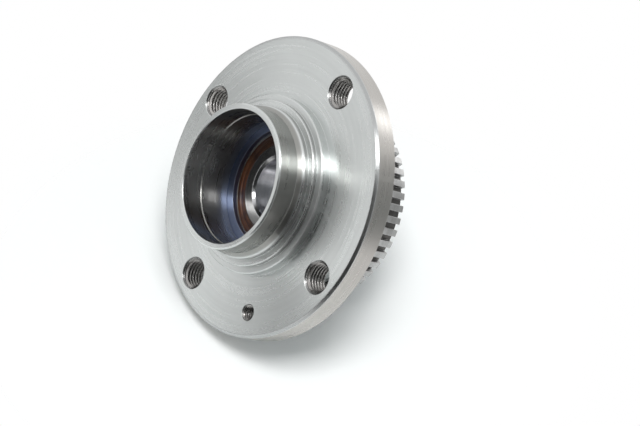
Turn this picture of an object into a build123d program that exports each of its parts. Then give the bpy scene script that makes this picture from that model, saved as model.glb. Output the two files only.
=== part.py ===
from build123d import *
import os
from math import cos, radians, sin, tan

# Wheel hub bearing: a forged flange hub that turns on a sealed double row
# angular contact ball bearing, with a toothed speed ring at its inboard end.
# Millimetres. The bearing axis is Z and +Z points outboard, to the nose.
# z = 0 is the face that the brake disc and the wheel are bolted against.

# ---- driving dimensions: bearing ----------------------------------------
bearing_bore_radius = 12.5
bearing_outer_radius = 26.0
bearing_width = 37.0
bearing_recess = 6.0            # outboard bearing face, below the wheel face
row_inset = 10.3                # ball centres, in from the bearing's faces
ball_radius = 3.969
balls_per_row = 12
contact_angle = 36.0
raceway_conformity = 1.04       # raceway radius over ball radius
ball_play = 0.08                # gap between a ball and each raceway
ring_chamfer = 0.8
bore_chamfer = 1.0
inner_shoulder_drop = 1.35      # inner ring's shoulder, inside the ball circle
outer_rib_rise = 1.75           # outer ring's middle rib, outside the ball circle
inner_land_depth = 0.42         # raceway depth below the inner ring's low land
outer_land_depth = 0.52         # raceway depth below the outer ring's low land
connector_length = 6.0
connector_wall = 0.8
connector_recess = 1.3          # recess for the connector, outside the bore

# ---- driving dimensions: cages ------------------------------------------
cage_gap = 0.4                  # between a cage and the rings
cage_back_height = 6.3          # from the ball centres to the cage's closed side
cage_claw_height = 2.2          # from the ball centres to the tips of the claws
pocket_play = 0.18

# ---- driving dimensions: seals ------------------------------------------
seal_seat_step = 0.4            # seal seat, outside the outer ring's low land
seal_seat_depth = 3.6
seal_face_depth = 0.8           # rubber face, below the bearing's face
seal_back_depth = 3.4
seal_case_rim_depth = 0.4
seal_sheet = 0.5                # sheet thickness of cases and slinger
seal_lip_gap = 0.1
seal_lip_height = 0.7           # how far the lips stand out of the rubber
seal_case_overlap = 3.0         # how far the case's floor reaches inwards
seal_groove_depth = 0.4
slinger_face_depth = 0.1
slinger_flange_gap = 0.9        # between the slinger's rim and the seal seat

# ---- driving dimensions: retaining ring ---------------------------------
circlip_thickness = 2.0
circlip_side_play = 0.15
circlip_groove_depth = 1.5
circlip_rim_play = 0.1
circlip_back_width = 4.9        # band width opposite the gap
circlip_end_width = 3.3         # band width at the lugs
circlip_lug_radius = 2.7
circlip_lug_inset = 3.4         # lug centre, inside the band's outer edge
circlip_eye_radius = 1.25
circlip_lug_angle = 11.0        # each lug, from the middle of the gap
circlip_turn = 55.0             # direction of the gap about the axis

# ---- driving dimensions: hub --------------------------------------------
bolt_circle_diameter = 100.0
bolt_count = 4
bolt_hole_radius = 6.0          # M12 x 1.5, at the thread's major diameter
bolt_hole_chamfer = 0.7
bolt_edge_distance = 10.0       # flange rim, outside the bolt circle
locating_hole_radius = 3.0      # M6, at the thread's major diameter
locating_hole_chamfer = 0.5
locating_hole_angle = -45.0
flange_thickness = 11.0
flange_front_chamfer = 1.0
flange_rear_chamfer = 1.6
flange_root_fillet = 5.0
nose_height = 19.3
nose_wall = 2.2                 # wheel spigot, outside the dust cap's seat
nose_outer_chamfer = 0.5
nose_mouth_chamfer = 0.25
cap_seat_step = 0.35            # dust cap's seat, outside the bearing bore
cap_seat_depth = 9.3
cap_seat_run_out = 0.35
spigot_root_rise = 1.8          # height of the cone below the spigot
boss_steps = [(1.85, 2.2), (4.45, 2.0), (7.05, 4.2)]   # (outside the spigot, height)
boss_step_chamfer = 0.4
barrel_wall = 9.0               # walls outside the bearing bore
ring_seat_wall = 7.3
end_boss_wall = 4.5
barrel_shoulder_chamfer = 0.6
ring_seat_chamfer = 0.6
end_boss_fillet = 1.0
end_boss_chamfer = 0.8
rear_lip_thickness = 3.0        # lip behind the bearing
rear_lip_cover = 0.5            # rear lip, inside the bearing's seal seats
rear_lip_chamfer = 0.5

# ---- driving dimensions: toothed ring -----------------------------------
tone_ring_teeth = 48
tone_ring_width = 10.0
tone_ring_rim = 2.3             # metal below the tooth gaps
tone_ring_tooth_height = 2.4
tone_ring_gap_width = 2.4
tone_ring_chamfer = 0.5
tone_ring_end_distance = 6.0    # from the hub's inboard end
tone_ring_seat_play = 0.6       # seat left free behind the ring

# ---- worked out: bearing ------------------------------------------------
ball_circle_radius = (bearing_bore_radius + bearing_outer_radius) / 2
bearing_top = -bearing_recess
bearing_bottom = bearing_top - bearing_width
bearing_middle = (bearing_top + bearing_bottom) / 2
half_width = bearing_width / 2
row_offset = half_width - row_inset
raceway_radius = ball_radius * raceway_conformity
raceway_shift = raceway_radius - ball_radius - ball_play
inner_shoulder_radius = ball_circle_radius - inner_shoulder_drop
outer_rib_radius = ball_circle_radius + outer_rib_rise
inner_land_radius = ball_circle_radius - ball_radius + inner_land_depth
outer_land_radius = ball_circle_radius + ball_radius - outer_land_depth
seal_seat_radius = outer_land_radius + seal_seat_step
connector_radius = bearing_bore_radius + connector_recess

# ---- worked out: hub ----------------------------------------------------
bolt_circle_radius = bolt_circle_diameter / 2
flange_radius = bolt_circle_radius + bolt_edge_distance
cap_seat_radius = bearing_outer_radius + cap_seat_step
spigot_radius = cap_seat_radius + nose_wall
spigot_bottom = spigot_root_rise + sum(height for _, height in boss_steps)
barrel_radius = bearing_outer_radius + barrel_wall
ring_seat_radius = bearing_outer_radius + ring_seat_wall
end_boss_radius = bearing_outer_radius + end_boss_wall
rear_lip_radius = seal_seat_radius - rear_lip_cover
hub_bottom = bearing_bottom - rear_lip_thickness
tone_ring_bottom = hub_bottom + tone_ring_end_distance
tone_ring_top = tone_ring_bottom + tone_ring_width
circlip_groove_radius = bearing_outer_radius + circlip_groove_depth
circlip_groove_top = bearing_top + circlip_thickness + circlip_side_play

SIDES = {"outboard": 1, "inboard": -1}


def turned(profile):
    """Solid turned about Z. Profile points are (radius, height[, fillet])."""
    outline = make_face(Polyline(*[point[:2] for point in profile], close=True))
    for radius, height, *corner in profile:
        if corner:
            vertex = outline.vertices().sort_by_distance((radius, height, 0))[0]
            outline = fillet(vertex, corner[0])
    return Rot(X=90) * revolve(outline, Axis.Y)


def ball_places(side):
    """Ball centres of one row, about the middle of the bearing."""
    step = 360 / balls_per_row
    turn = 0 if side > 0 else step / 2
    angles = [radians(turn + index * step) for index in range(balls_per_row)]
    radius = ball_circle_radius
    return [(radius * cos(a), radius * sin(a), side * row_offset) for a in angles]


def raceway(side, outward):
    """Torus that grinds one raceway; outward is 1 in the outer ring, -1 in an inner."""
    radius = ball_circle_radius - outward * raceway_shift * cos(radians(contact_angle))
    height = row_offset + outward * raceway_shift * sin(radians(contact_angle))
    return Pos(0, 0, side * height) * Torus(radius, raceway_radius)


def outer_ring():
    """Outer ring: low lands at the ends, a rib between the rows, two seal seats."""
    entry = seal_seat_radius + seal_case_rim_depth
    half = [
        (outer_rib_radius, row_offset),
        (outer_land_radius, row_offset),
        (outer_land_radius, half_width - seal_seat_depth),
        (seal_seat_radius, half_width - seal_seat_depth),
        (seal_seat_radius, half_width - seal_case_rim_depth),
        (entry, half_width),
        (bearing_outer_radius - ring_chamfer, half_width),
        (bearing_outer_radius, half_width - ring_chamfer),
    ]
    other = [(radius, -height) for radius, height in reversed(half)]
    return turned(half + other) - raceway(1, 1) - raceway(-1, 1)


def inner_ring(side):
    """One inner ring: high shoulder at the bearing's face, low land at the middle."""
    profile = [
        (bearing_bore_radius, connector_length / 2),
        (bearing_bore_radius, half_width - bore_chamfer),
        (bearing_bore_radius + bore_chamfer, half_width),
        (inner_shoulder_radius - ring_chamfer / 2, half_width),
        (inner_shoulder_radius, half_width - ring_chamfer / 2),
        (inner_shoulder_radius, row_offset),
        (inner_land_radius, row_offset),
        (inner_land_radius, 0),
        (connector_radius, 0),
        (connector_radius, connector_length / 2),
    ]
    ring = turned([(radius, side * height) for radius, height in profile])
    return ring - raceway(side, -1)


def connector():
    """Thin ring that clips the two inner rings together inside their bore."""
    half = connector_length / 2
    inside = connector_radius - connector_wall
    return turned([(inside, -half), (connector_radius, -half), (connector_radius, half), (inside, half)])


def cage(side):
    """Snap cage: closed towards the seal, with claws that reach past the balls."""
    inside = inner_shoulder_radius + cage_gap
    outside = outer_rib_radius - cage_gap
    back = side * (row_offset + cage_back_height)
    tips = side * (row_offset - cage_claw_height)
    band = turned([(inside, tips), (outside, tips), (outside, back), (inside, back)])
    pockets = [Pos(*place) * Sphere(ball_radius + pocket_play) for place in ball_places(side)]
    return band - pockets


def seal_case(side):
    """Stamped steel case, pressed in the outer ring's seal seat."""
    rim = half_width - seal_case_rim_depth
    back = half_width - seal_back_depth
    inside = seal_seat_radius - seal_sheet
    floor_edge = inside - seal_case_overlap
    profile = [
        (seal_seat_radius, rim),
        (seal_seat_radius, back),
        (floor_edge, back),
        (floor_edge, back + seal_sheet),
        (inside, back + seal_sheet),
        (inside, rim),
    ]
    return turned([(radius, side * height) for radius, height in profile])


def seal_lip(side, journal_radius):
    """Rubber moulded on the case, with two lips that run on the journal."""
    face = half_width - seal_face_depth
    back = half_width - seal_back_depth
    edge = seal_seat_radius - seal_sheet
    floor_edge = edge - seal_case_overlap
    lip = journal_radius + seal_lip_gap
    body = lip + seal_lip_height
    land = seal_lip_height / 2
    middle = (face + back) / 2
    groove_outside = edge - (edge - body) / 3
    groove_inside = body + (edge - body) / 3
    profile = [
        (edge, face),
        (groove_outside, face),
        (groove_outside - land, face - seal_groove_depth),
        (groove_inside + land, face - seal_groove_depth),
        (groove_inside, face),
        (body, face),
        (lip, face - land),
        (lip, face - 2 * land),
        (body, middle),
        (lip, back + 2 * land),
        (lip, back + land),
        (body, back),
        (floor_edge, back),
        (floor_edge, back + seal_sheet),
        (edge, back + seal_sheet),
    ]
    return turned([(radius, side * height) for radius, height in profile])


def slinger(side):
    """Steel thrower pressed on the inner ring, in front of the rubber."""
    face = half_width - slinger_face_depth
    back = half_width - seal_seat_depth
    sleeve = inner_shoulder_radius + seal_sheet
    rim = seal_seat_radius - slinger_flange_gap
    profile = [
        (inner_shoulder_radius, back),
        (inner_shoulder_radius, face - ring_chamfer / 2),
        (inner_shoulder_radius + ring_chamfer / 2, face),
        (rim, face),
        (rim, face - seal_sheet),
        (sleeve, face - seal_sheet),
        (sleeve, back),
    ]
    return turned([(radius, side * height) for radius, height in profile])


def circlip():
    """Internal retaining ring with two eyed lugs, lying on the bearing's outer ring."""
    outside = circlip_groove_radius - circlip_rim_play
    inside = outside - (circlip_back_width + circlip_end_width) / 2
    shift = (circlip_back_width - circlip_end_width) / 2
    reach = 2 * outside
    spread = reach * tan(radians(circlip_lug_angle))
    gap = Polygon((0, 0), (reach, -spread), (reach, spread), align=None)
    band = Circle(outside) - Pos(shift, 0) * Circle(inside) - gap
    centres = PolarLocations(outside - circlip_lug_inset, 2, -circlip_lug_angle, 4 * circlip_lug_angle)
    lugs = centres * Circle(circlip_lug_radius)
    eyes = centres * Circle(circlip_eye_radius)
    outline = Rot(Z=circlip_turn) * (band + lugs - eyes)
    return Pos(0, 0, bearing_top) * extrude(outline, circlip_thickness)


def boss_profile():
    """Stepped boss from the wheel face up to the foot of the spigot."""
    points = []
    height = 0
    for outset, rise in reversed(boss_steps):
        radius = spigot_radius + outset
        points.append((radius, height))
        height += rise
        points.append((radius, height - boss_step_chamfer))
        points.append((radius - boss_step_chamfer, height))
    return points


def hub_profile():
    """Section of the hub, from the flange up over the nose and down the bore."""
    face = [
        (flange_radius, -flange_front_chamfer),
        (flange_radius - flange_front_chamfer, 0),
    ]
    nose = [
        (spigot_radius, spigot_bottom),
        (spigot_radius, nose_height - nose_outer_chamfer),
        (spigot_radius - nose_outer_chamfer, nose_height),
        (cap_seat_radius + nose_mouth_chamfer, nose_height),
        (cap_seat_radius, nose_height - nose_mouth_chamfer),
        (cap_seat_radius, nose_height - cap_seat_depth),
        (bearing_outer_radius, nose_height - cap_seat_depth - cap_seat_run_out),
    ]
    bore = [
        (bearing_outer_radius, circlip_groove_top),
        (circlip_groove_radius, circlip_groove_top),
        (circlip_groove_radius, bearing_top),
        (bearing_outer_radius, bearing_top),
        (bearing_outer_radius, bearing_bottom),
        (rear_lip_radius, bearing_bottom),
        (rear_lip_radius, hub_bottom + rear_lip_chamfer),
        (rear_lip_radius + rear_lip_chamfer, hub_bottom),
    ]
    seat_bottom = tone_ring_bottom - tone_ring_seat_play
    barrel = [
        (end_boss_radius - end_boss_chamfer, hub_bottom),
        (end_boss_radius, hub_bottom + end_boss_chamfer),
        (end_boss_radius, seat_bottom, end_boss_fillet),
        (ring_seat_radius - ring_seat_chamfer, seat_bottom),
        (ring_seat_radius, seat_bottom + ring_seat_chamfer),
        (ring_seat_radius, tone_ring_top),
        (barrel_radius - barrel_shoulder_chamfer, tone_ring_top),
        (barrel_radius, tone_ring_top + barrel_shoulder_chamfer),
        (barrel_radius, -flange_thickness, flange_root_fillet),
        (flange_radius - flange_rear_chamfer, -flange_thickness),
        (flange_radius, -flange_thickness + flange_rear_chamfer),
    ]
    return face + boss_profile() + nose + bore + barrel


def flange_hole(radius, chamfer):
    """Cutter for a hole through the flange, countersunk at both faces."""
    wide = radius + 2 * chamfer
    return turned([
        (0, chamfer),
        (wide, chamfer),
        (radius, -chamfer),
        (radius, chamfer - flange_thickness),
        (wide, -chamfer - flange_thickness),
        (0, -chamfer - flange_thickness),
    ])


def hub():
    """Forged and machined hub: flange, nose, bearing housing and their holes."""
    bolt_holes = PolarLocations(bolt_circle_radius, bolt_count) * flange_hole(
        bolt_hole_radius, bolt_hole_chamfer)
    locating_hole = PolarLocations(bolt_circle_radius, 1, locating_hole_angle) * flange_hole(
        locating_hole_radius, locating_hole_chamfer)
    return turned(hub_profile()) - bolt_holes - locating_hole


def tone_ring():
    """Toothed speed ring, pressed on its seat up to the barrel's shoulder."""
    root = ring_seat_radius + tone_ring_rim
    tip = root + tone_ring_tooth_height
    blank = turned([
        (ring_seat_radius, tone_ring_bottom),
        (tip - tone_ring_chamfer, tone_ring_bottom),
        (tip, tone_ring_bottom + tone_ring_chamfer),
        (tip, tone_ring_top - tone_ring_chamfer),
        (tip - tone_ring_chamfer, tone_ring_top),
        (ring_seat_radius, tone_ring_top),
    ])
    length = 2 * tone_ring_tooth_height
    middle = (tone_ring_bottom + tone_ring_top) / 2
    cutter = Box(length, tone_ring_gap_width, 2 * tone_ring_width)
    gaps = PolarLocations(root + length / 2, tone_ring_teeth) * cutter
    return blank - [Pos(0, 0, middle) * gap for gap in gaps]


def bearing_pieces():
    """Pieces of the bearing by name, each about the middle of the bearing."""
    slinger_sleeve_radius = inner_shoulder_radius + seal_sheet
    pieces = {
        "bearing_outer_ring": outer_ring(),
        "inner_ring_connector": connector(),
        "slinger_inboard": slinger(SIDES["inboard"]),
        "seal_lip_outboard": seal_lip(SIDES["outboard"], inner_shoulder_radius),
        "seal_lip_inboard": seal_lip(SIDES["inboard"], slinger_sleeve_radius),
    }
    for name, side in SIDES.items():
        pieces[f"inner_ring_{name}"] = inner_ring(side)
        pieces[f"cage_{name}"] = cage(side)
        pieces[f"seal_case_{name}"] = seal_case(side)
        for number, place in enumerate(ball_places(side), start=1):
            pieces[f"ball_{name}_{number:02d}"] = Pos(*place) * Sphere(ball_radius)
    return pieces


def build():
    """Every node of the assembly by name, in its place."""
    nodes = {"hub": hub(), "tone_ring": tone_ring(), "circlip": circlip()}
    for name, piece in bearing_pieces().items():
        nodes[name] = Pos(0, 0, bearing_middle) * piece
    return nodes


os.makedirs("parts", exist_ok=True)
for node, solid in build().items():
    export_step(solid, f"parts/{node}.step")
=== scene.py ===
"""Looks of a wheel hub bearing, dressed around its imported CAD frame.

The CAD pieces keep their shapes and get their finishes here. The threads in the
flange's holes are built here as real helical ridges. Lengths are in metres.
"""
import logging
import math
from dataclasses import dataclass, field
from enum import Enum

import bmesh
import bpy
from mathutils import Matrix, Vector


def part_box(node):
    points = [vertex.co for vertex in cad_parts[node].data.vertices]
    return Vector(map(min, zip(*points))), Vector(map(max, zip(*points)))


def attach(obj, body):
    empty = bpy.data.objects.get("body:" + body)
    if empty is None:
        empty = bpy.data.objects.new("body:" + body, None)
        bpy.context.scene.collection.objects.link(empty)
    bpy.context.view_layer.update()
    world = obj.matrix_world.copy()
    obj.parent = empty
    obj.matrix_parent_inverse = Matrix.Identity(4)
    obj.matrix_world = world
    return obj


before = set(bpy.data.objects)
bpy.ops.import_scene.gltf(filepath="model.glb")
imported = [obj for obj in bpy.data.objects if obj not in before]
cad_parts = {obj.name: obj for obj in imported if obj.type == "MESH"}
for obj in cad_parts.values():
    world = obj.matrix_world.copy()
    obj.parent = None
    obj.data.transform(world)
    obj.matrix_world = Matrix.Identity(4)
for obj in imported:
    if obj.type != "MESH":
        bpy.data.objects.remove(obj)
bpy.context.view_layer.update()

MM = 0.001
log = logging.getLogger("wheel_hub")

Colour = tuple[float, float, float]
Span = tuple[float, float]
Size = tuple[float, float]
Place = tuple[float, float, float]
Socket = bpy.types.NodeSocket
Feed = object  # what an input takes: a constant, or a socket that feeds it


class Body(Enum):
    """Rigid bodies of the frame that pieces of this file ride on."""

    HUB = "hub_side"


class Direction(Enum):
    """Which way a group of nodes passes a value."""

    IN = "INPUT"
    OUT = "OUTPUT"


class SocketKind(Enum):
    """Kinds of socket on a node group."""

    FLOAT = "NodeSocketFloat"
    VECTOR = "NodeSocketVector"
    GEOMETRY = "NodeSocketGeometry"
    MATERIAL = "NodeSocketMaterial"


# ---------------------------------------------------------------- node helpers


def rgba(colour: Feed) -> Feed:
    """A colour with its alpha, or the socket as it is."""
    return (*colour, 1.0) if isinstance(colour, tuple) and len(colour) == 3 else colour


@dataclass
class Graph:
    """A node tree with short ways to add nodes and join them."""

    tree: bpy.types.NodeTree

    def add(self, kind: str, feeds: dict | None = None, **settings: object) -> bpy.types.Node:
        """Adds a node.

        Args:
            kind: the node's type name.
            feeds: input name or index to a value or to the socket that feeds it.
            settings: the node's own properties.

        Returns:
            The new node.
        """
        node = self.tree.nodes.new(kind)
        for name, value in settings.items():
            setattr(node, name, value)
        for name, value in (feeds or {}).items():
            self.feed(node.inputs[name], value)
        return node

    def feed(self, socket: Socket, value: Feed) -> None:
        """Sets a socket, or links another socket to it.

        Args:
            socket: the input socket.
            value: a constant, or an output socket.
        """
        if isinstance(value, Socket):
            self.tree.links.new(value, socket)
        else:
            socket.default_value = value

    def maths(self, operation: str, *values: Feed) -> Socket:
        """The result of a Math node."""
        return self.add("ShaderNodeMath", dict(enumerate(values)), operation=operation).outputs[0]

    def vector_value(self, operation: str, *values: Feed) -> Socket:
        """The one value of a Vector Math node, such as a length."""
        node = self.add("ShaderNodeVectorMath", dict(enumerate(values)), operation=operation)
        return node.outputs["Value"]

    def band(self, value: Feed, low: Feed, high: Feed) -> Socket:
        """A smooth step from 0 where the value is low to 1 where it is high."""
        feeds = {"Value": value, "From Min": low, "From Max": high}
        return self.add("ShaderNodeMapRange", feeds, interpolation_type="SMOOTHSTEP").outputs[0]

    def scale(self, value: Feed, low: float, high: float) -> Socket:
        """A mask from 0 to 1 as a value from low to high."""
        feeds = {"Value": value, "To Min": low, "To Max": high}
        return self.add("ShaderNodeMapRange", feeds).outputs[0]

    def mix(self, factor: Feed, first: Feed, second: Feed, blend: str = "MIX") -> Socket:
        """A mixture of two colours, where the factor is the share of the second."""
        feeds = {"Factor": factor, 6: rgba(first), 7: rgba(second)}
        return self.add("ShaderNodeMix", feeds, data_type="RGBA", blend_type=blend).outputs[2]

    def noise(self, vector: Feed, scale: Feed, detail: float = 2.0) -> Socket:
        """Noise between about 0 and 1, with detail octaves."""
        feeds = {"Vector": vector, "Scale": scale, "Detail": detail}
        return self.add("ShaderNodeTexNoise", feeds).outputs[0]

    def spot(self) -> Socket:
        """Where a point of the surface is, in the object's own frame."""
        return self.add("ShaderNodeTexCoord").outputs["Object"]

    def around(self) -> tuple[Socket, ...]:
        """Where a point of the surface is about the axis.

        Returns:
            Its x, y and z, and its distance from the axis.
        """
        x, y, z = self.add("ShaderNodeSeparateXYZ", {0: self.spot()}).outputs
        squares = self.maths("ADD", self.maths("MULTIPLY", x, x), self.maths("MULTIPLY", y, y))
        return x, y, z, self.maths("SQRT", squares)

    def seen(self) -> Socket:
        """Whether a surface is seen, and doesn't only light others.

        Returns:
            1 to the camera and in a reflection or glass, or else 0.
        """
        path = self.add("ShaderNodeLightPath").outputs
        plain = self.maths("MAXIMUM", path["Is Camera Ray"], path["Is Glossy Ray"])
        return self.maths("MAXIMUM", plain, path["Is Transmission Ray"])


class Group(Graph):
    """A node group that takes and gives values by name."""

    def __init__(self, name: str, kind: str,
                 sockets: list[tuple[str, Direction, SocketKind, Feed]]) -> None:
        """Starts a group.

        Args:
            name: the group's name.
            kind: the tree's type name.
            sockets: name, direction, kind and default of each socket.
        """
        super().__init__(bpy.data.node_groups.new(name, kind))
        for label, direction, socket_kind, default in sockets:
            socket = self.tree.interface.new_socket(
                name=label, in_out=direction.value, socket_type=socket_kind.value)
            if default is not None:
                socket.default_value = default
        self.given = self.add("NodeGroupInput").outputs
        self.results = self.add("NodeGroupOutput").inputs

    def give(self, name: str, value: Socket) -> None:
        """Passes a value out of the group."""
        self.feed(self.results[name], value)


def bare_material(name: str) -> tuple[bpy.types.Material, Graph]:
    """An empty material.

    Args:
        name: its name.

    Returns:
        The material and its graph.
    """
    material = bpy.data.materials.new(name)
    material.use_nodes = True
    material.node_tree.nodes.clear()
    return material, Graph(material.node_tree)


def add_object(name: str, data: bpy.types.ID) -> bpy.types.Object:
    """Puts data in the scene.

    Args:
        name: the object's name.
        data: its mesh, light or camera.

    Returns:
        The object, at the origin.
    """
    item = bpy.data.objects.new(name, data)
    bpy.context.scene.collection.objects.link(item)
    return item


# ------------------------------------------------------------- shared effects


class Effects:
    """Shader groups that several finishes share. Each is built once."""

    FACE_SPAN: Span = (0.35, 0.75)  # lean of a normal to the axis, from wall to face
    BROAD_STEP = 0.14  # broad steps for one fine step
    FINE_SHARE = 0.9  # share of the fine marks in the height
    TONE_SPAN: Span = (0.22, 0.78)
    BEVEL_SAMPLES = 6
    # where the mask is full, the edges' lighter colour goes on: wear and a painted highlight
    EDGE_SPAN: Span = (0.995, 0.86)  # cosine of the bevel's turn, from plain to worn
    STREAK_TURN = (0.4, 0.9, 0.6)
    STREAK_STRETCH = (1.0, 7.0, 1.6)
    FILM_SPAN: Span = (0.42, 0.66)
    WIPE_SPAN: Span = (0.54, 0.72)
    PIT_GATHERING = 240.0  # frequency of the places where pits gather
    PIT_WALL = 0.08

    def __init__(self) -> None:
        """Builds every group."""
        self.turning = self._turning()
        self.edges = self._edges()
        self.handling = self._handling()
        self.pits = self._pits()

    def _turning(self) -> bpy.types.NodeTree:
        """Lathe marks: rings on a face, hoops on a cylinder, by what the surface is.

        Returns:
            The group, with Height and Tone between 0 and 1.
        """
        group = Group("Turning Marks", "ShaderNodeTree", [
            ("Pitch", Direction.IN, SocketKind.FLOAT, 0.3 * MM),
            ("Spread", Direction.IN, SocketKind.FLOAT, 0.7),
            ("Height", Direction.OUT, SocketKind.FLOAT, None),
            ("Tone", Direction.OUT, SocketKind.FLOAT, None),
        ])
        x, y, z, radius = group.around()
        normal = group.add("ShaderNodeTexCoord").outputs["Normal"]
        facing = group.add("ShaderNodeSeparateXYZ", {0: normal}).outputs[2]
        flat = group.band(group.maths("ABSOLUTE", facing), *self.FACE_SPAN)
        travel = group.add("ShaderNodeMix", {"Factor": flat, 2: z, 3: radius}, data_type="FLOAT")
        steps = group.maths("DIVIDE", travel.outputs[0], group.given["Pitch"])
        spread = group.given["Spread"]
        turned = [group.maths("MULTIPLY", group.maths("DIVIDE", side, radius), spread)
                  for side in (x, y)]

        def marks(along: Socket, detail: float) -> Socket:
            """Noise that changes along the marks' travel and slowly about the axis."""
            at = group.add("ShaderNodeCombineXYZ", {0: along, 1: turned[0], 2: turned[1]})
            return group.noise(at.outputs[0], 1.0, detail)

        fine = marks(steps, detail=2.0)
        broad = marks(group.maths("MULTIPLY", steps, self.BROAD_STEP), detail=3.0)
        group.give("Height", group.maths(
            "ADD", group.maths("MULTIPLY", fine, self.FINE_SHARE),
            group.maths("MULTIPLY", broad, 1.0 - self.FINE_SHARE)))
        group.give("Tone", group.band(broad, *self.TONE_SPAN))
        return group.tree

    def _edges(self) -> bpy.types.NodeTree:
        """Rounded and rubbed edges, found by how far a small bevel turns the surface. On steel
        their lighter colour is also a painted highlight.

        Returns:
            The group, with a Mask and the rounded Normal.
        """
        group = Group("Broken Edges", "ShaderNodeTree", [
            ("Width", Direction.IN, SocketKind.FLOAT, 0.3 * MM),
            ("Mask", Direction.OUT, SocketKind.FLOAT, None),
            ("Normal", Direction.OUT, SocketKind.VECTOR, None),
        ])
        bevel = group.add("ShaderNodeBevel", {"Radius": group.given["Width"]},
                          samples=self.BEVEL_SAMPLES).outputs[0]
        plain = group.add("ShaderNodeNewGeometry").outputs["Normal"]
        turn = group.vector_value("DOT_PRODUCT", bevel, plain)
        group.give("Mask", group.band(turn, *self.EDGE_SPAN))
        group.give("Normal", bevel)
        return group.tree

    def _handling(self) -> bpy.types.NodeTree:
        """Oil film and handling marks: soft patches with a few wiped streaks.

        Returns:
            The group, with a Film and a Wipe mask.
        """
        group = Group("Oil And Handling", "ShaderNodeTree", [
            ("Scale", Direction.IN, SocketKind.FLOAT, 55.0),
            ("Film", Direction.OUT, SocketKind.FLOAT, None),
            ("Wipe", Direction.OUT, SocketKind.FLOAT, None),
        ])
        spot = group.spot()
        patches = group.noise(spot, group.given["Scale"], detail=3.0)
        stretched = group.add("ShaderNodeMapping", {
            "Vector": spot, "Rotation": self.STREAK_TURN, "Scale": self.STREAK_STRETCH})
        streaks = group.noise(stretched.outputs[0], group.given["Scale"], detail=4.0)
        group.give("Film", group.band(patches, *self.FILM_SPAN))
        group.give("Wipe", group.band(streaks, *self.WIPE_SPAN))
        return group.tree

    def _pits(self) -> bpy.types.NodeTree:
        """Small pits and grains.

        Returns:
            The group, with a Height and a Mask that is 1 in a pit.
        """
        group = Group("Pits", "ShaderNodeTree", [
            ("Scale", Direction.IN, SocketKind.FLOAT, 900.0),
            ("Share", Direction.IN, SocketKind.FLOAT, 0.25),
            ("Height", Direction.OUT, SocketKind.FLOAT, None),
            ("Mask", Direction.OUT, SocketKind.FLOAT, None),
        ])
        spot = group.spot()
        cells = group.add("ShaderNodeTexVoronoi", {"Vector": spot, "Scale": group.given["Scale"]})
        gathered = group.noise(spot, self.PIT_GATHERING)
        reach = group.maths("MULTIPLY", group.given["Share"], gathered)
        rim = group.maths("ADD", reach, self.PIT_WALL)
        mask = group.band(cells.outputs["Distance"], rim, reach)
        group.give("Mask", mask)
        group.give("Height", group.maths("SUBTRACT", 1.0, mask))
        return group.tree


# ------------------------------------------------------------------- finishes


@dataclass(frozen=True)
class SteelFinish:
    """A machined, ground or stamped steel. Lengths are in metres."""

    name: str
    colour: Colour
    shade: Colour
    # lighter colour of the broken edges: wear, and a painted highlight along them
    edge: Colour
    roughness: float
    roughness_spread: float = 0.08
    anisotropy: float = 0.0
    pitch: float = 0.3 * MM
    mark_depth: float = 0.004 * MM
    edge_width: float = 0.25 * MM
    film: float = 0.12
    pit_scale: float = 900.0
    pit_share: float = 0.2
    pit_depth: float = 0.01 * MM

    @property
    def grime(self) -> Colour:
        """What a film or a pit multiplies the colour by."""
        return tuple(low / high for low, high in zip(self.shade, self.colour))


@dataclass(frozen=True)
class SoftFinish:
    """A moulded rubber or plastic. Lengths are in metres."""

    name: str
    colour: Colour
    shade: Colour
    bloom: Colour
    roughness: float
    grain_scale: float
    grain_depth: float
    coat: float = 0.0
    # dark rings of painted shade, as if lying in grooves: pitch, spread about the axis and mask
    # span
    shade_ring_pitch: float = 0.0
    shade_ring_spread: float = 0.2
    shade_ring_span: Span = (0.56, 0.42)
    cloud_scale: float = 160.0
    cloud_span: Span = (0.35, 0.65)
    handling_scale: float = 120.0
    film: float = 0.35
    edge_width: float = 0.15 * MM
    edge_rub: float = 0.4
    roughness_span: Span = (-0.08, 0.1)


@dataclass(frozen=True)
class Tint:
    """A colour laid over a stretch of a piece, with the width of the change at its ends."""

    colour: Colour
    strength: float
    softness: float = 0.4 * MM


@dataclass(frozen=True)
class Zone:
    """A tinted stretch of a piece, in metres. With no heights it runs from end to end."""

    tint: Tint
    radii: Span
    heights: Span | None = None


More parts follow.
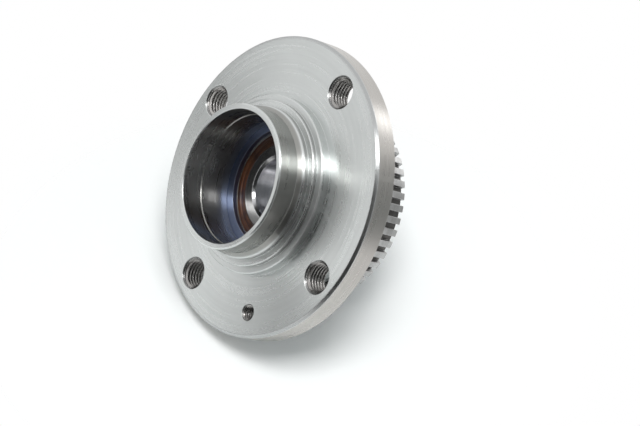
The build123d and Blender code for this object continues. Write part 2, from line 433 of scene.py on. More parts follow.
@dataclass
class MaterialShop:
    """Makes the finishes from the shared effects."""

    effects: Effects
    pit_dirt: float = 0.45  # how much of the grime a pit holds
    wipe_roughness: float = 0.05  # what a wiped streak adds to the roughness
    across_marks: float = 0.25  # turn of the highlight, for marks about the axis

    @staticmethod
    def _start(name: str) -> tuple[bpy.types.Material, Graph, bpy.types.Node]:
        """A material with its shader alone.

        Args:
            name: the material's name.

        Returns:
            The material, its graph and its Principled BSDF.
        """
        material, graph = bare_material(name)
        shader = graph.add("ShaderNodeBsdfPrincipled")
        graph.add("ShaderNodeOutputMaterial", {"Surface": shader.outputs[0]})
        return material, graph, shader

    @staticmethod
    def _use(graph: Graph, group: bpy.types.NodeTree,
             **feeds: float) -> bpy.types.bpy_prop_collection:
        """Places a shared group in a material.

        Args:
            graph: the material's graph.
            group: the shared group.
            feeds: its inputs, by name in small letters.

        Returns:
            The group's outputs.
        """
        node = graph.add("ShaderNodeGroup", node_tree=group)
        for name, value in feeds.items():
            graph.feed(node.inputs[name.title()], value)
        return node.outputs

    @staticmethod
    def _bump(graph: Graph, height: Feed, depth: float, normal: Feed) -> Socket:
        """Raises a surface by a height.

        Args:
            graph: the material's graph.
            height: the height, between 0 and 1.
            depth: the length that a height of 1 stands for, in metres.
            normal: the normal that it changes.

        Returns:
            The new normal.
        """
        feeds = {"Height": height, "Strength": 1.0, "Distance": depth, "Normal": normal}
        return graph.add("ShaderNodeBump", feeds).outputs[0]

    def steel(self, finish: SteelFinish, zones: tuple[Zone, ...] = ()) -> bpy.types.Material:
        """A steel with marks of how it was made, broken edges and an oil film. The edges' lighter
        colour is partly wear and partly a painted highlight.

        Args:
            finish: its colours and sizes.
            zones: stretches with their own tint, in the order they are laid on.

        Returns:
            The material.
        """
        material, graph, shader = self._start(finish.name)
        turning = self._use(graph, self.effects.turning, pitch=finish.pitch)
        edges = self._use(graph, self.effects.edges, width=finish.edge_width)
        handling = self._use(graph, self.effects.handling)
        pits = self._use(graph, self.effects.pits, scale=finish.pit_scale, share=finish.pit_share)
        colour = graph.mix(turning["Tone"], finish.shade, finish.colour)
        for zone in zones:
            colour = graph.mix(self._zone_mask(graph, zone), colour, zone.tint.colour)
        for mask, share in ((handling["Film"], finish.film), (pits["Mask"], self.pit_dirt)):
            dirt_and_shade = graph.maths("MULTIPLY", mask, share)
            colour = graph.mix(dirt_and_shade, colour, finish.grime, "MULTIPLY")
        # painted highlight: the edges take a lighter colour, partly wear and partly standing in
        # for light
        graph.feed(shader.inputs["Base Color"], graph.mix(edges["Mask"], colour, finish.edge))
        rough = graph.scale(turning["Tone"], finish.roughness + finish.roughness_spread,
                            finish.roughness)
        wiped = graph.maths("MULTIPLY", handling["Wipe"], self.wipe_roughness)
        graph.feed(shader.inputs["Roughness"], graph.maths("ADD", rough, wiped))
        shader.inputs["Metallic"].default_value = 1.0
        shader.inputs["Anisotropic"].default_value = finish.anisotropy
        if finish.anisotropy:
            shader.inputs["Anisotropic Rotation"].default_value = self.across_marks
            tangent = graph.add("ShaderNodeTangent", direction_type="RADIAL", axis="Z")
            graph.feed(shader.inputs["Tangent"], tangent.outputs[0])
        pitted = self._bump(graph, pits["Height"], finish.pit_depth, edges["Normal"])
        marked = self._bump(graph, turning["Height"], finish.mark_depth, pitted)
        graph.feed(shader.inputs["Normal"], marked)
        return material

    @staticmethod
    def _zone_mask(graph: Graph, zone: Zone) -> Socket:
        """Mask of a zone, from the distance to the axis and the height along it.

        Args:
            graph: the material's graph.
            zone: the stretch.

        Returns:
            The mask's socket.
        """
        _, _, z, radius = graph.around()
        mask: Feed = zone.tint.strength
        soft = zone.tint.softness
        for value, span in ((radius, zone.radii), (z, zone.heights)):
            if span:
                low = graph.band(value, span[0] - soft, span[0] + soft)
                high = graph.band(value, span[1] + soft, span[1] - soft)
                mask = graph.maths("MULTIPLY", mask, graph.maths("MULTIPLY", low, high))
        return mask

    def soft(self, finish: SoftFinish) -> bpy.types.Material:
        """A moulded rubber or plastic with a fine grain and pale bloom, and, where asked, dark
        rings of painted shade.

        Args:
            finish: its colours and sizes.

        Returns:
            The material.
        """
        material, graph, shader = self._start(finish.name)
        spot = graph.spot()
        clouds = graph.noise(spot, finish.cloud_scale, detail=3.0)
        grain = graph.noise(spot, finish.grain_scale, detail=3.0)
        handling = self._use(graph, self.effects.handling, scale=finish.handling_scale)
        edges = self._use(graph, self.effects.edges, width=finish.edge_width)
        colour = graph.mix(graph.band(clouds, *finish.cloud_span), finish.shade, finish.colour)
        # painted shade: dark rings that stand in for shaded grooves
        if finish.shade_ring_pitch:
            rings = self._use(graph, self.effects.turning, pitch=finish.shade_ring_pitch,
                              spread=finish.shade_ring_spread)
            colour = graph.mix(graph.band(rings["Height"], *finish.shade_ring_span), colour,
                               finish.shade)
        for mask, share in ((handling["Film"], finish.film), (edges["Mask"], finish.edge_rub)):
            colour = graph.mix(graph.maths("MULTIPLY", mask, share), colour, finish.bloom)
        graph.feed(shader.inputs["Base Color"], colour)
        smooth, rough = (finish.roughness + change for change in finish.roughness_span)
        graph.feed(shader.inputs["Roughness"], graph.scale(grain, smooth, rough))
        shader.inputs["Coat Weight"].default_value = finish.coat
        bumped = self._bump(graph, grain, finish.grain_depth, edges["Normal"])
        graph.feed(shader.inputs["Normal"], bumped)
        return material


# --------------------------------------------------------------- sub-assemblies


def dress(node: str, material: bpy.types.Material) -> None:
    """Gives a CAD piece its finish.

    Args:
        node: the CAD node's name.
        material: its finish.
    """
    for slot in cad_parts[node].material_slots:
        slot.material = material
    log.info("%s: %s", node, material.name)


def shifted(start: float, span: Span) -> Span:
    """A span whose ends are measured from a start."""
    return start + span[0], start + span[1]


@dataclass
class HubForging:
    """The hub: flange, boss, nose and bearing housing.

    Its tints lie between radii and heights. Those of the step walls, cone, nose, chamfer,
    bore, countersinks and holes are painted shade. A reach is a radius less the bearing's
    or, for the rim, less the hub's. Heights are from the wheel face. Each step wall is the
    reach of its middle and its heights.
    """

    shop: MaterialShop
    step_walls: tuple[tuple[float, Span], ...] = (
        (7 * MM, (4.45 * MM, 5.95 * MM)),
        (4.4 * MM, (6.45 * MM, 8.15 * MM)),
    )
    step_reach: Span = (-0.35 * MM, 0.35 * MM)
    # painted shade: the step walls, cone and nose are darkened to stand in for the dark
    # reflections they show
    step_wall_shade: Tint = Tint((0.38, 0.385, 0.38), 0.85, 0.15 * MM)
    cone_reach: Span = (2 * MM, 4.2 * MM)
    cone_heights: Span = (8.65 * MM, 10.4 * MM)
    cone_shade: Tint = Tint((0.40, 0.405, 0.40), 0.85, 0.15 * MM)
    nose_reach: Span = (2 * MM, 4.1 * MM)
    nose_depths: Span = (-10.4 * MM, -0.7 * MM)  # from the nose's end
    nose_shade: Tint = Tint((0.31, 0.31, 0.294), 0.85, 0.3 * MM)
    rim_reach: Span = (-1.2 * MM, 1 * MM)
    rim_heights: Span = (-20 * MM, -1.2 * MM)
    rim_tint: Tint = Tint((0.46, 0.43, 0.40), 0.75)
    # painted shade: the front chamfer is darkened to stand in for the shadowed floor it reflects
    chamfer_heights: Span = (-1.2 * MM, 1 * MM)
    chamfer_shade: Tint = Tint((0.42, 0.43, 0.43), 0.9)
    back_reach: float = 10 * MM
    back_top: float = -10.8 * MM
    back_tint: Tint = Tint((0.34, 0.345, 0.35), 0.5)
    # painted shade: the bore, a deep recess, is darkened where shade falls
    bore_reach: float = 1 * MM
    bore_depth: float = 0.6 * MM  # below the nose's end
    bore_shade: Tint = Tint((0.232, 0.228, 0.215), 0.85)
    end_reach: float = 20 * MM
    end_drop: float = 1 * MM  # below the hub's inboard end
    end_tint: Tint = Tint((0.28, 0.28, 0.285), 0.5)
    hole_reach: float = 17 * MM
    hole_inset: float = 3 * MM  # inside the hub's rim
    # painted shade: the countersinks are darkened to damp their highlight, and the holes' walls to
    # show them shaded inside
    countersink_heights: Span = (-10.9 * MM, -0.12 * MM)
    countersink_shade: Tint = Tint((0.23, 0.23, 0.225), 0.9, 0.08 * MM)
    hole_heights: Span = (-10.6 * MM, -0.45 * MM)
    hole_shade: Tint = Tint((0.13, 0.13, 0.135), 0.75, 0.35 * MM)
    finish: SteelFinish = SteelFinish(
        name="hub_turned_steel",
        colour=(0.65, 0.672, 0.665),
        shade=(0.60, 0.622, 0.615),
        # the pale colour of the edges is partly wear and partly a painted highlight
        edge=(0.90, 0.905, 0.90),
        roughness=0.25,
        roughness_spread=0.07,
        anisotropy=0.75,
        pitch=0.24 * MM,
        mark_depth=0.002 * MM,
        edge_width=0.2 * MM,
        film=0.3,
        pit_share=0.10,
    )

    def zones(self) -> tuple[Zone, ...]:
        """Places of the hub's tints.

        Returns:
            The zones, in the order they are laid on.
        """
        (_, _, bottom), (rim, _, top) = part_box("hub")
        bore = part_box("bearing_outer_ring")[1].x
        clip_top, ring_top = (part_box(node)[1].z for node in ("circlip", "tone_ring"))
        rim_radii = shifted(rim, self.rim_reach)
        hole_radii = (bore + self.hole_reach, rim - self.hole_inset)
        steps = (Zone(self.step_wall_shade, shifted(bore + reach, self.step_reach), heights)
                 for reach, heights in self.step_walls)
        # the zones of the step walls, cone, nose, chamfer, bore, countersinks and holes are
        # painted shade
        return (
            *steps,
            Zone(self.cone_shade, shifted(bore, self.cone_reach), self.cone_heights),
            Zone(self.rim_tint, rim_radii, self.rim_heights),
            Zone(self.back_tint, (bore + self.back_reach, rim), (bottom, self.back_top)),
            Zone(self.nose_shade, shifted(bore, self.nose_reach), shifted(top, self.nose_depths)),
            Zone(self.chamfer_shade, rim_radii, self.chamfer_heights),
            Zone(self.bore_shade, (0.0, bore + self.bore_reach), (clip_top, top - self.bore_depth)),
            Zone(self.end_tint, (0.0, bore + self.end_reach), (bottom - self.end_drop, ring_top)),
            Zone(self.countersink_shade, hole_radii, self.countersink_heights),
            Zone(self.hole_shade, hole_radii, self.hole_heights),
        )

    def build(self) -> None:
        """Dresses the hub."""
        dress("hub", self.shop.steel(self.finish, self.zones()))


@dataclass
class SpeedRing:
    """The toothed ring at the inboard end."""

    shop: MaterialShop
    tooth_height: float = 2.4 * MM
    # painted shade, dark in the gaps at the foot of the teeth
    gap_shade_reach: Span = (-1 * MM, 0.5 * MM)
    gap_shade_tint: Tint = Tint((0.06, 0.055, 0.05), 0.85, 0.6 * MM)
    finish: SteelFinish = SteelFinish(
        name="tone_ring_steel",
        colour=(0.57, 0.57, 0.565),
        shade=(0.40, 0.40, 0.395),
        edge=(0.80, 0.80, 0.80),
        roughness=0.40,
        anisotropy=0.2,
        pitch=0.5 * MM,
        edge_width=0.2 * MM,
        film=0.35,
        pit_scale=1400.0,
        pit_share=0.5,
        pit_depth=0.02 * MM,
    )

    def build(self) -> None:
        """Dresses the ring, with painted shade at the foot of its teeth, in the gaps between them.
        """
        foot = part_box("tone_ring")[1].x - self.tooth_height
        dirt_and_shade = Zone(self.gap_shade_tint, shifted(foot, self.gap_shade_reach))
        dress("tone_ring", self.shop.steel(self.finish, (dirt_and_shade,)))


@dataclass
class BearingCartridge:
    """Rings, balls, cages, seals, slinger and connector, with the retaining ring."""

    shop: MaterialShop
    sides: tuple[str, str] = ("outboard", "inboard")

    def build(self) -> None:
        """Dresses every piece of the bearing."""
        self._rings()
        self._rolling()
        self._seals()
        self._circlip()

    def _rings(self) -> None:
        """Ground rings and the strip that joins the inner two."""
        ground = self.shop.steel(SteelFinish(
            name="ground_ring_steel",
            colour=(0.60, 0.60, 0.615),
            shade=(0.46, 0.46, 0.48),
            edge=(0.78, 0.78, 0.79),
            roughness=0.16,
            roughness_spread=0.06,
            anisotropy=0.5,
            pitch=0.12 * MM,
            mark_depth=0.0015 * MM,
            film=0.3,
            pit_share=0.05,
        ))
        for node in ("bearing_outer_ring", "inner_ring_outboard", "inner_ring_inboard"):
            dress(node, ground)
        dress("inner_ring_connector", self.shop.steel(SteelFinish(
            name="connector_strip_steel",
            colour=(0.48, 0.48, 0.50),
            shade=(0.36, 0.36, 0.38),
            edge=(0.7, 0.7, 0.7),
            roughness=0.3,
            anisotropy=0.3,
            pitch=0.2 * MM,
        )))

    def _rolling(self) -> None:
        """Balls and cages."""
        polished = self.shop.steel(SteelFinish(
            name="ball_steel",
            colour=(0.70, 0.70, 0.715),
            shade=(0.60, 0.60, 0.62),
            edge=(0.8, 0.8, 0.8),
            roughness=0.07,
            roughness_spread=0.05,
            pitch=0.9 * MM,
            mark_depth=0.0004 * MM,
            edge_width=0.05 * MM,
            film=0.2,
            pit_share=0.03,
            pit_depth=0.002 * MM,
        ))
        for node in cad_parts:
            if node.startswith("ball_"):
                dress(node, polished)
        nylon = self.shop.soft(SoftFinish(
            name="cage_polyamide",
            colour=(0.62, 0.53, 0.36),
            shade=(0.50, 0.41, 0.26),
            bloom=(0.72, 0.66, 0.52),
            roughness=0.42,
            grain_scale=2200.0,
            grain_depth=0.02 * MM,
        ))
        for side in self.sides:
            dress(f"cage_{side}", nylon)

    def _seals(self) -> None:
        """Stamped cases, rubber lips and the slinger."""
        sheet = self.shop.steel(SteelFinish(
            name="seal_case_sheet",
            colour=(0.42, 0.42, 0.42),
            shade=(0.31, 0.31, 0.31),
            edge=(0.66, 0.66, 0.66),
            roughness=0.33,
            anisotropy=0.2,
            pitch=0.6 * MM,
            pit_share=0.35,
        ))
        rubber = self.shop.soft(SoftFinish(
            name="seal_rubber",
            colour=(0.115, 0.036, 0.010),
            shade=(0.030, 0.011, 0.006),
            bloom=(0.17, 0.066, 0.024),
            roughness=0.44,
            grain_scale=3200.0,
            grain_depth=0.015 * MM,
            coat=0.15,
            # gives the rubber dark rings of painted shade
            shade_ring_pitch=0.55 * MM,
        ))
        for side in self.sides:
            dress(f"seal_case_{side}", sheet)
            dress(f"seal_lip_{side}", rubber)
        dress("slinger_inboard", self.shop.steel(SteelFinish(
            name="slinger_stainless",
            colour=(0.56, 0.56, 0.555),
            shade=(0.44, 0.44, 0.44),
            edge=(0.75, 0.75, 0.75),
            roughness=0.22,
            anisotropy=0.4,
            pitch=0.4 * MM,
        )))

    def _circlip(self) -> None:
        """Spring steel with a blue passivated zinc plating."""
        dress("circlip", self.shop.steel(SteelFinish(
            name="circlip_blue_zinc",
            colour=(0.34, 0.41, 0.64),
            shade=(0.25, 0.31, 0.49),
            edge=(0.60, 0.66, 0.80),
            roughness=0.26,
            pitch=0.7 * MM,
            mark_depth=0.002 * MM,
            edge_width=0.18 * MM,
            film=0.25,
            pit_scale=1600.0,
        )))


@dataclass(frozen=True)
class Thread:
    """A metric thread in the flange's holes, in metres and degrees.

    The holes stand on a circle about the axis, at the angles. The depth is from the
    wheel face to the flange's back.
    """

    name: str
    major_radius: float
    pitch: float
    countersink: float
    angles: tuple[float, ...]
    circle_radius: float = 50 * MM
    depth: float = 11 * MM
    height_share: float = 0.5413
    sink_share: float = 0.09

    @property
    def mouth_radius(self) -> float:
        """Radius of the countersink where it meets the flange's face."""
        return self.major_radius + self.countersink

    @property
    def crest_radius(self) -> float:
        """Radius at the thread's crest, which is a nut's minor radius."""
        return self.major_radius - self.height_share * self.pitch

    @property
    def foot_radius(self) -> float:
        """Radius of the ridge's foot, sunk a little in the hole's wall."""
        return self.major_radius + self.sink_share * self.pitch


class ThreadCutter:
    """Makes helical thread ridges with Geometry Nodes.

    A ridge's section has four corners in this order: lower foot, lower crest, upper
    crest and upper foot. A fifth closes it on the first.
    """

    STEPS_PER_TURN = 48
    CORNERS = 5
    CREST_MIDDLE = 1.5  # between the two corners of the crest
    UPPER_MIDDLE = 2.5  # between the two upper corners
    CORNER_REACH = 0.9
    FOOT_SHARE = 0.49  # half the foot's width, for one pitch
    CREST_SHARE = 0.125  # half the crest's width, for one pitch
    WELD = 0.002 * MM

    def __init__(self, shop: MaterialShop) -> None:
        """Builds the tree and the ridges' finish.

        Args:
            shop: where the finish is made.
        """
        self.material = shop.steel(SteelFinish(
            name="thread_steel",
            colour=(0.52, 0.505, 0.49),
            shade=(0.22, 0.213, 0.207),
            # the pale colour of the edges paints a highlight on the crests, over their wear
            edge=(0.97, 0.965, 0.955),
            roughness=0.22,
            pitch=2.5 * MM,
            mark_depth=0.002 * MM,
            edge_width=0.2 * MM,
            film=0.4,
            pit_share=0.1,
        ))
        self.tree = self._tree()

    def _tree(self) -> bpy.types.NodeTree:
        """Tree: a helical ridge that both countersinks cut, copied to every hole.

        Returns:
            The Geometry Nodes group.
        """
        group = Group("Helical Thread", "GeometryNodeTree", [
            ("Geometry", Direction.IN, SocketKind.GEOMETRY, None),
            ("Foot Radius", Direction.IN, SocketKind.FLOAT, 6.1 * MM),
            ("Crest Radius", Direction.IN, SocketKind.FLOAT, 5.2 * MM),
            ("Mouth Radius", Direction.IN, SocketKind.FLOAT, 6.7 * MM),
            ("Depth", Direction.IN, SocketKind.FLOAT, 11 * MM),
            ("Pitch", Direction.IN, SocketKind.FLOAT, 1.5 * MM),
            ("Finish", Direction.IN, SocketKind.MATERIAL, None),
            ("Geometry", Direction.OUT, SocketKind.GEOMETRY, None),
        ])
        given = group.given
        turns = group.maths("ADD", group.maths("DIVIDE", given["Depth"], given["Pitch"]), 1.0)
        steps = group.maths("MULTIPLY", turns, self.STEPS_PER_TURN)
        sections = group.add("FunctionNodeFloatToInt", {0: steps}).outputs[0]
        grid = group.add("GeometryNodeMeshGrid", {
            "Size X": 1.0, "Size Y": 1.0, "Vertices X": sections, "Vertices Y": self.CORNERS})
        bent = group.add("GeometryNodeSetPosition", {
            "Geometry": grid.outputs["Mesh"], "Position": self._place(group, turns)})
        wound = group.add("GeometryNodeMergeByDistance", {
            "Geometry": bent.outputs[0], "Distance": self.WELD})
        copies = group.add("GeometryNodeInstanceOnPoints", {
            "Points": given["Geometry"], "Instance": wound.outputs[0]})
        real = group.add("GeometryNodeRealizeInstances", {0: copies.outputs[0]})
        painted = group.add("GeometryNodeSetMaterial", {
            "Geometry": real.outputs[0], "Material": given["Finish"]})
        group.give("Geometry", painted.outputs[0])
        return group.tree

    def _place(self, group: Group, turns: Socket) -> Socket:
        """Where each point of the flat grid goes on the ridge.

        The foot is wide and the crest narrow. Near a face the cone of the countersink
        takes off the crest first, so the ridge rises from nothing there.

        Args:
            group: the tree's graph. The grid's x runs along the helix and its y round
                the section, both from -0.5 to 0.5.
            turns: how many turns the ridge has.

        Returns:
            The position's socket.
        """
        maths, given = group.maths, group.given
        grid = group.add("GeometryNodeInputPosition").outputs[0]
        along, across, _ = group.add("ShaderNodeSeparateXYZ", {0: grid}).outputs
        corner = maths("MULTIPLY", maths("ADD", across, 0.5), self.CORNERS - 1)
        on_crest = maths("COMPARE", corner, self.CREST_MIDDLE, self.CORNER_REACH)
        on_top = maths("COMPARE", corner, self.UPPER_MIDDLE, self.CORNER_REACH)
        turn = maths("MULTIPLY", maths("ADD", along, 0.5), turns)
        angle = maths("MULTIPLY", turn, math.tau)
        middle = maths("MULTIPLY", maths("SUBTRACT", turn, 0.5), given["Pitch"])
        inside = maths("MINIMUM", middle, maths("SUBTRACT", given["Depth"], middle))
        foot_half = maths("MULTIPLY", given["Pitch"], self.FOOT_SHARE)
        narrowing = maths("MULTIPLY", given["Pitch"], self.FOOT_SHARE - self.CREST_SHARE)
        depth = maths("SUBTRACT", given["Foot Radius"], given["Crest Radius"])
        slope = maths("DIVIDE", narrowing, depth)
        beyond = maths("SUBTRACT", given["Foot Radius"], given["Mouth Radius"])
        spare = maths("ADD", maths("ADD", inside, foot_half), beyond)
        left = maths("MAXIMUM", maths("DIVIDE", spare, maths("ADD", slope, 1.0)), 0.0)
        rise = maths("MULTIPLY", maths("MINIMUM", left, depth), on_crest)
        radius = maths("SUBTRACT", given["Foot Radius"], rise)
        half = maths("SUBTRACT", foot_half, maths("MULTIPLY", rise, slope))
        loose = maths("ADD", middle, maths("MULTIPLY", group.scale(on_top, -1.0, 1.0), half))
        lower_cone = maths("SUBTRACT", given["Mouth Radius"], radius)
        upper_cone = maths("SUBTRACT", given["Depth"], lower_cone)
        height = maths("MAXIMUM", maths("MINIMUM", loose, upper_cone), lower_cone)
        return group.add("ShaderNodeCombineXYZ", {
            0: maths("MULTIPLY", radius, maths("COSINE", angle)),
            1: maths("MULTIPLY", radius, maths("SINE", angle)),
            2: height,
        }).outputs[0]

    def cut(self, thread: Thread) -> bpy.types.Object:
        """Makes one size of thread, in every hole that has it.

        Args:
            thread: its sizes and places.

        Returns:
            The ridges, as one plain mesh.
        """
        turns = [math.radians(angle) for angle in thread.angles]
        spots = [(thread.circle_radius * math.cos(turn), thread.circle_radius * math.sin(turn),
                  -thread.depth) for turn in turns]
        points = bpy.data.meshes.new(f"{thread.name}_places")
        points.from_pydata(spots, [], [])
        seed = add_object(f"{thread.name}_places", points)
        modifier = seed.modifiers.new("thread", "NODES")
        modifier.node_group = self.tree
        values = {
            "Foot Radius": thread.foot_radius,
            "Crest Radius": thread.crest_radius,
            "Mouth Radius": thread.mouth_radius,
            "Depth": thread.depth,
            "Pitch": thread.pitch,
            "Finish": self.material,
        }
        for item in self.tree.interface.items_tree:
            if item.in_out == Direction.IN.value and item.name in values:
                modifier[item.identifier] = values[item.name]
        return as_piece(seed, thread.name)


def as_piece(source: bpy.types.Object, name: str) -> bpy.types.Object:
    """Turns an object with modifiers into a plain mesh piece, and removes it.

    Args:
        source: the object to evaluate.
        name: the new piece's name.

    Returns:
        The new object, at the origin.
    """
    bpy.context.view_layer.update()
    evaluated = source.evaluated_get(bpy.context.evaluated_depsgraph_get())
    mesh = bpy.data.meshes.new_from_object(evaluated)
    mesh.name = name
    shape = bmesh.new()
    shape.from_mesh(mesh)
    bmesh.ops.recalc_face_normals(shape, faces=shape.faces)
    shape.to_mesh(mesh)
    shape.free()
    bpy.data.objects.remove(source)
    return add_object(name, mesh)


@dataclass
class FlangeThreads:
    """Threads of the four wheel bolt holes and of the locating hole."""

    shop: MaterialShop
    threads: tuple[Thread, ...] = (
        Thread("wheel_bolt_threads", major_radius=6 * MM, pitch=1.5 * MM,
               countersink=0.7 * MM, angles=(0.0, 90.0, 180.0, 270.0)),
        Thread("locating_screw_thread", major_radius=3 * MM, pitch=1.0 * MM,
               countersink=0.5 * MM, angles=(-45.0,)),
    )

    def build(self) -> None:
        """Makes the ridges, which ride with the hub."""
        cutter = ThreadCutter(self.shop)
        for thread in self.threads:
            piece = cutter.cut(thread)
            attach(piece, Body.HUB.value)
            log.info("%s: %d faces", piece.name, len(piece.data.polygons))


# --------------------------------------------------------------------- studio


@dataclass(frozen=True)
class View:
    """The camera's place, from the bearing's axis system. Angles in degrees."""

    azimuth: float = 35.08
    elevation: float = 43.72
    roll: float = -75.81
    distance: float = 685.25 * MM
    aside: float = 21.64 * MM
    below: float = -10.82 * MM
    lens: float = 98.83
    sensor: float = 36.0
    nearest: float = 10 * MM

    def axes(self) -> tuple[Vector, Vector, Vector]:
        """Right, up and back directions of the camera.

        Returns:
            Three unit vectors.
        """
        azimuth, elevation = math.radians(self.azimuth), math.radians(self.elevation)
        back = Vector((math.cos(azimuth) * math.cos(elevation),
                       math.sin(azimuth) * math.cos(elevation), math.sin(elevation)))
        level = Vector((0, 0, 1)).cross(back).normalized()
        steep = back.cross(level)
        roll = math.radians(self.roll)
        right = math.cos(roll) * level + math.sin(roll) * steep
        return right, back.cross(right), back


class Role(Enum):
    """What a soft box does: light matt surfaces, or shine in glossy ones."""

    LIGHT = "light"
    SHINE = "shine"


@dataclass(frozen=True)
class Lamp:
    """A soft box aimed at the hub.

    place is how far it stands to the camera's right, away from the camera and above
    the wheel face's centre, level with the table, in metres. role is what it does.
    """

    name: str
    place: Place
    size: Size
    power: float
    role: Role = Role.SHINE


@dataclass(frozen=True)
class Flag:
    """A dark card that only shows in reflections. It is placed and aimed as a lamp is."""

    name: str
    place: Place
    size: Size
    shade: float = 0.02
    roughness: float = 0.9


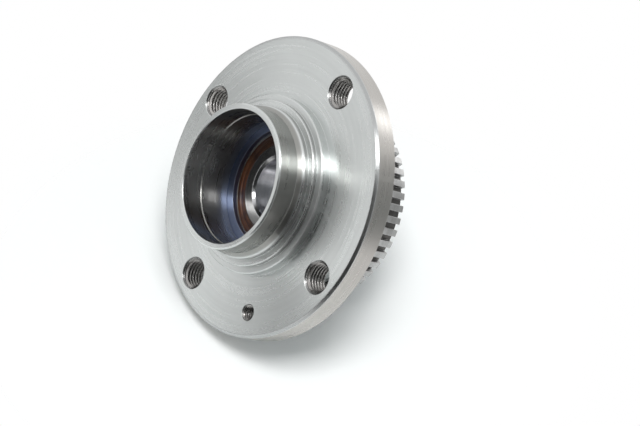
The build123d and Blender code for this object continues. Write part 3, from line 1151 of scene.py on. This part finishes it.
@dataclass
class Studio:
    """Camera, soft boxes, dark cards, the pale floor and the white surround."""

    view: View = View()
    lean: float = 36.33  # rise of the axis from the table, in degrees
    floor_size: Size = (0.6, 0.6)
    floor_fade: Span = (0.085, 0.15)
    floor_colour: Colour = (0.96, 0.96, 0.96)
    floor_speck: float = 0.985
    speck_scale: float = 400.0
    floor_glow: float = 0.07
    surround_light: float = 0.44
    surround_tint: Colour = (0.91, 1.0, 1.0)
    lamps: tuple[Lamp, ...] = (
        Lamp("top_box", (0.12, -0.36, 1.10), (0.52, 0.52), 9.8, Role.LIGHT),
        Lamp("top_glow", (0.11, -0.33, 1.00), (0.34, 0.34), 3.0),
        Lamp("left_box", (-0.75, -0.25, 0.75), (0.5, 0.7), 0.3),
        Lamp("side_glow", (-0.96, -0.16, 0.25), (0.3, 0.3), 0.17),
        Lamp("rear_strip", (0.90, 0.62, 0.22), (0.22, 0.5), 0.65),
    )
    flags: tuple[Flag, ...] = (
        Flag("left_rail", (-0.95, -0.35, 0.02), (1.0, 0.24)),
        Flag("rear_rail", (-0.75, 0.70, 0.045), (1.0, 0.24)),
        Flag("right_card", (0.55, -0.12, -0.03), (0.6, 0.34), shade=0.4),
        Flag("front_card", (-0.10, -0.49, 0.12), (0.62, 0.56)),
        Flag("brow_card", (0.0, -0.33, 0.38), (0.56, 0.16)),
        Flag("grey_card", (0.0, -0.235, 0.44), (0.56, 0.085), shade=0.3),
    )
    axes: tuple[Vector, Vector, Vector] = field(init=False)
    upward: Vector = field(init=False)

    def __post_init__(self) -> None:
        """Works out the camera's directions and the table's."""
        self.axes = self.view.axes()
        self.upward = self._table_normal()

    def build(self) -> None:
        """Sets up the whole studio."""
        self._camera()
        self._world()
        self._floor()
        for lamp in self.lamps:
            self._lamp(lamp)
        for flag in self.flags:
            self._flag(flag)
        bpy.context.scene.view_settings.view_transform = "Standard"

    def _point(self, place: Place) -> Vector:
        """A point given by its distances to the right, away and above the table."""
        right, above = self.axes[0], self.upward
        return right * place[0] + above.cross(right) * place[1] + above * place[2]

    def _camera(self) -> None:
        """Places the camera."""
        right, up, back = self.axes
        data = bpy.data.cameras.new("camera")
        data.lens = self.view.lens
        data.sensor_width = self.view.sensor
        data.sensor_fit = "HORIZONTAL"
        data.clip_start = self.view.nearest
        camera = add_object("camera", data)
        turn = Matrix((right, up, back)).transposed().to_4x4()
        place = right * self.view.aside + up * self.view.below + back * self.view.distance
        camera.matrix_world = Matrix.Translation(place) @ turn
        bpy.context.scene.camera = camera

    def _world(self) -> None:
        """White to the camera and in reflections, softer as a light."""
        world = bpy.data.worlds.new("surround")
        world.use_nodes = True
        world.node_tree.nodes.clear()
        graph = Graph(world.node_tree)
        seen = graph.seen()
        light = graph.add("ShaderNodeBackground", {
            "Color": graph.mix(seen, self.surround_tint, (1.0, 1.0, 1.0)),
            "Strength": graph.scale(seen, self.surround_light, 1.0),
        })
        graph.add("ShaderNodeOutputWorld", {"Surface": light.outputs[0]})
        bpy.context.scene.world = world

    def _table_normal(self) -> Vector:
        """The direction away from the table on which the hub lies on its rim.

        Returns:
            The unit vector in the plane of the camera's up and back that makes the
            axis rise from the table by the lean.
        """
        _, up, back = self.axes
        reach = math.hypot(up.z, back.z)
        tip = math.asin(math.sin(math.radians(self.lean)) / reach) - math.atan2(up.z, back.z)
        return (math.cos(tip) * up + math.sin(tip) * back).normalized()

    def _floor(self) -> None:
        """A pale table that touches the hub, seen from its upper side alone."""
        lowest = min(self.upward.dot(vertex.co) for node in ("hub", "tone_ring")
                     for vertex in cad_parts[node].data.vertices)
        floor = self._card("floor", self.upward * lowest, self.upward, self.axes[0],
                           self.floor_size)
        floor.data.materials.append(self._floor_material())

    @staticmethod
    def _card(name: str, place: Vector, facing: Vector, across: Vector,
              size: Size) -> bpy.types.Object:
        """A flat stage card.

        Args:
            name: its name.
            place: its centre.
            facing: the direction that it faces.
            across: the direction of its width.
            size: its width and height.

        Returns:
            The object, with its place in its mesh.
        """
        upright = facing.cross(across)
        wide, high = (side / 2 for side in size)
        corners = [place + across * x + upright * y for x, y in
                   ((-wide, -high), (wide, -high), (wide, high), (-wide, high))]
        mesh = bpy.data.meshes.new(name)
        mesh.from_pydata(corners, [], [(0, 1, 2, 3)])
        card = add_object(name, mesh)
        return card

    def _floor_material(self) -> bpy.types.Material:
        """Pale matt surface that fades out at its rim and can't be seen from below.

        Returns:
            The material.
        """
        material, graph = bare_material("floor_paper")
        spot = graph.spot()
        fade = graph.band(graph.vector_value("LENGTH", spot), *self.floor_fade)
        under = graph.add("ShaderNodeNewGeometry").outputs["Backfacing"]
        speck = graph.noise(spot, self.speck_scale)
        darker = tuple(self.floor_speck * part for part in self.floor_colour)
        matt = graph.add("ShaderNodeBsdfDiffuse", {
            "Color": graph.mix(speck, self.floor_colour, darker)})
        glow = graph.add("ShaderNodeEmission", {
            "Strength": graph.maths("MULTIPLY", graph.seen(), self.floor_glow)})
        paper = graph.add("ShaderNodeAddShader", {0: matt.outputs[0], 1: glow.outputs[0]})
        gone = graph.add("ShaderNodeBsdfTransparent")
        both = graph.add("ShaderNodeMixShader", {
            0: graph.maths("MAXIMUM", fade, under), 1: paper.outputs[0], 2: gone.outputs[0]})
        graph.add("ShaderNodeOutputMaterial", {"Surface": both.outputs[0]})
        return material

    def _lamp(self, lamp: Lamp) -> None:
        """Adds a soft box aimed at the hub.

        Args:
            lamp: its place, size and power.
        """
        data = bpy.data.lights.new(lamp.name, "AREA")
        data.shape = "RECTANGLE"
        data.size, data.size_y = lamp.size
        data.energy = lamp.power
        light = add_object(lamp.name, data)
        light.visible_diffuse = lamp.role is Role.LIGHT
        light.visible_glossy = lamp.role is Role.SHINE
        place = self._point(lamp.place)
        turn = place.to_track_quat("Z", "Y").to_matrix().to_4x4()
        light.matrix_world = Matrix.Translation(place) @ turn

    def _flag(self, flag: Flag) -> None:
        """Adds a dark card facing the hub, which only reflections show.

        Args:
            flag: its place, size and shade.
        """
        place = self._point(flag.place)
        facing = -place.normalized()
        across = self.upward.cross(facing).normalized()
        card = self._card(flag.name, place, facing, across, flag.size)
        material, graph = bare_material(flag.name)
        shader = graph.add("ShaderNodeBsdfPrincipled", {
            "Base Color": rgba((flag.shade,) * 3), "Roughness": flag.roughness})
        graph.add("ShaderNodeOutputMaterial", {"Surface": shader.outputs[0]})
        card.data.materials.append(material)
        card.visible_camera = False
        card.visible_diffuse = False
        card.visible_shadow = False


def main() -> None:
    """Builds the sub-assemblies and the studio."""
    logging.basicConfig(level=logging.INFO, format="%(name)s: %(message)s")
    shop = MaterialShop(Effects())
    HubForging(shop).build()
    SpeedRing(shop).build()
    BearingCartridge(shop).build()
    FlangeThreads(shop).build()
    Studio().build()


if __name__ == "__main__":
    main()
